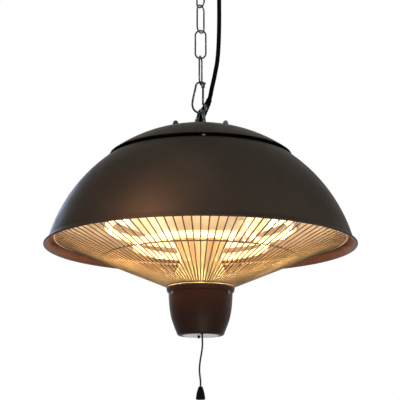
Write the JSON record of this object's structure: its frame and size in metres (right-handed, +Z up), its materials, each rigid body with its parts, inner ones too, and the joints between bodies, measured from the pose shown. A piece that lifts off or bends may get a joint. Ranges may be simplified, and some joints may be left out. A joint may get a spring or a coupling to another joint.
{
  "type": "hanging patio heater",
  "caption": "Ceiling-hung patio heater: a domed shade with ring lamps and a wire guard on a chain, with a pull-cord switch and a coiled mains lead.",
  "frame": {"origin": "centre of the ceiling plate's top face, where the whole heater is fastened to the ceiling", "axes": "+Z up, away from the heater; the picture looks along +Y with +X to the right"},
  "size_m": [0.425, 0.425, 0.7022],
  "materials": {
    "brown_paint": "satin dark brown enamel",
    "dark_shell": "satin black-brown enamel",
    "chain_steel": "dark plated steel wire",
    "zinc": "zinc-plated steel",
    "polished": "bright polished reflector",
    "guard_chrome": "bright plated wire",
    "lamp_glass": "glowing warm white tube",
    "ceramic": "unglazed ceramic",
    "cord_rubber": "matt black rubber",
    "grey_plastic": "pale grey plastic",
    "black_plastic": "black moulded plastic"
  },
  "bodies": {
    "ceiling": {"ceiling_plate": "brown_paint", "ceiling_hook": "chain_steel", "plate_screw_1": "zinc", "plate_screw_2": "zinc", "cord_clip": "zinc", "cord_coil": "cord_rubber", "cord_tail": "cord_rubber", "mains_plug": "black_plastic"},
    "link_1": {"chain_link_1": "chain_steel"},
    "link_2": {"chain_link_2": "chain_steel"},
    "link_3": {"chain_link_3": "chain_steel"},
    "link_4": {"chain_link_4": "chain_steel"},
    "link_5": {"chain_link_5": "chain_steel"},
    "snap": {"snap_hook": "chain_steel", "gate_pin": "zinc"},
    "gate": {"snap_gate": "chain_steel"},
    "heater": {"hanging_eye": "chain_steel", "eye_plate": "zinc", "eye_nut_1": "zinc", "eye_nut_2": "zinc", "top_cap": "brown_paint", "cap_bolt_1": "dark_shell", "cap_bolt_2": "dark_shell", "cap_bolt_3": "dark_shell", "cap_bolt_4": "dark_shell", "cord_gland": "black_plastic", "cord_boot": "cord_rubber", "power_cord": "cord_rubber", "terminal_block": "ceramic", "spacer_ring": "dark_shell", "ring_screw_1": "zinc", "ring_screw_2": "zinc", "ring_screw_3": "zinc", "shade_dome": "brown_paint", "carrier_plate": "zinc", "centre_tube": "zinc", "tube_nut": "zinc", "centre_column": "polished", "reflector_dish": "polished", "inner_lamp": "lamp_glass", "inner_lamp_cap_1": "ceramic", "inner_lamp_cap_2": "ceramic", "inner_lamp_holder": "zinc", "outer_lamp": "lamp_glass", "outer_lamp_cap_1": "ceramic", "outer_lamp_cap_2": "ceramic", "outer_lamp_holder": "zinc", "guard_wires": "guard_chrome", "guard_hoop": "guard_chrome", "housing_collar": "dark_shell", "switch_housing": "dark_shell", "housing_screw_1": "zinc", "housing_screw_2": "zinc", "base_plate": "grey_plastic", "base_knob": "black_plastic", "cord_guide": "black_plastic", "switch_body": "black_plastic"},
    "pull": {"pull_cord": "cord_rubber", "pull_knob": "black_plastic"},
    "drum": {"switch_drum": "grey_plastic"}
  },
  "joints": [
    {"name": "link_1_swing", "type": "hinge", "parent": "ceiling", "child": "link_1", "pos_m": [0, 0, -0.074], "axis": [0.6947, -0.7193, 0], "range_deg": [-15, 15], "deforming": ["power_cord"]},
    {"name": "link_2_swing", "type": "hinge", "parent": "link_1", "child": "link_2", "pos_m": [0, 0, -0.1114], "axis": [0.7193, 0.6947, 0], "range_deg": [-15, 15], "deforming": ["power_cord"]},
    {"name": "link_3_swing", "type": "hinge", "parent": "link_2", "child": "link_3", "pos_m": [0, 0, -0.1501], "axis": [0.6947, -0.7193, 0], "range_deg": [-15, 15], "deforming": ["power_cord"]},
    {"name": "link_4_swing", "type": "hinge", "parent": "link_3", "child": "link_4", "pos_m": [0, 0, -0.18875], "axis": [0.6428, 0.766, 0], "range_deg": [-15, 15], "deforming": ["power_cord"]},
    {"name": "link_5_swing", "type": "hinge", "parent": "link_4", "child": "link_5", "pos_m": [0, 0, -0.22705], "axis": [1, 0, 0], "range_deg": [-15, 15], "deforming": ["power_cord"]},
    {"name": "snap_swing", "type": "hinge", "parent": "link_5", "child": "snap", "pos_m": [0, 0, -0.26565], "axis": [0.2419, 0.9703, 0], "range_deg": [-15, 15], "deforming": ["power_cord"]},
    {"name": "heater_swing", "type": "hinge", "parent": "snap", "child": "heater", "pos_m": [0, 0, -0.3074], "axis": [1, 0, 0], "range_deg": [-15, 15], "deforming": ["power_cord"]},
    {"name": "gate_press", "type": "hinge", "parent": "snap", "child": "gate", "pos_m": [0.00337, 0, -0.26838], "axis": [0, 1, 0], "range_deg": [0, 20], "stiffness_Nm_per_rad": 0.03, "springref_deg": -11.46},
    {"name": "pull_switch", "type": "slide", "parent": "heater", "child": "pull", "axis": [0, 0, -1], "range_m": [0, 0.01], "stiffness_N_per_m": 400},
    {"name": "drum_turn", "type": "hinge", "parent": "heater", "child": "drum", "pos_m": [0.0021, -0.01735, -0.58793], "axis": [1, 0, 0], "range_deg": [0, 61.6]}
  ],
  "couplings": [
    {"joint": "drum_turn", "follows": "pull_switch", "rad_per_m": 105.82}
  ]
}
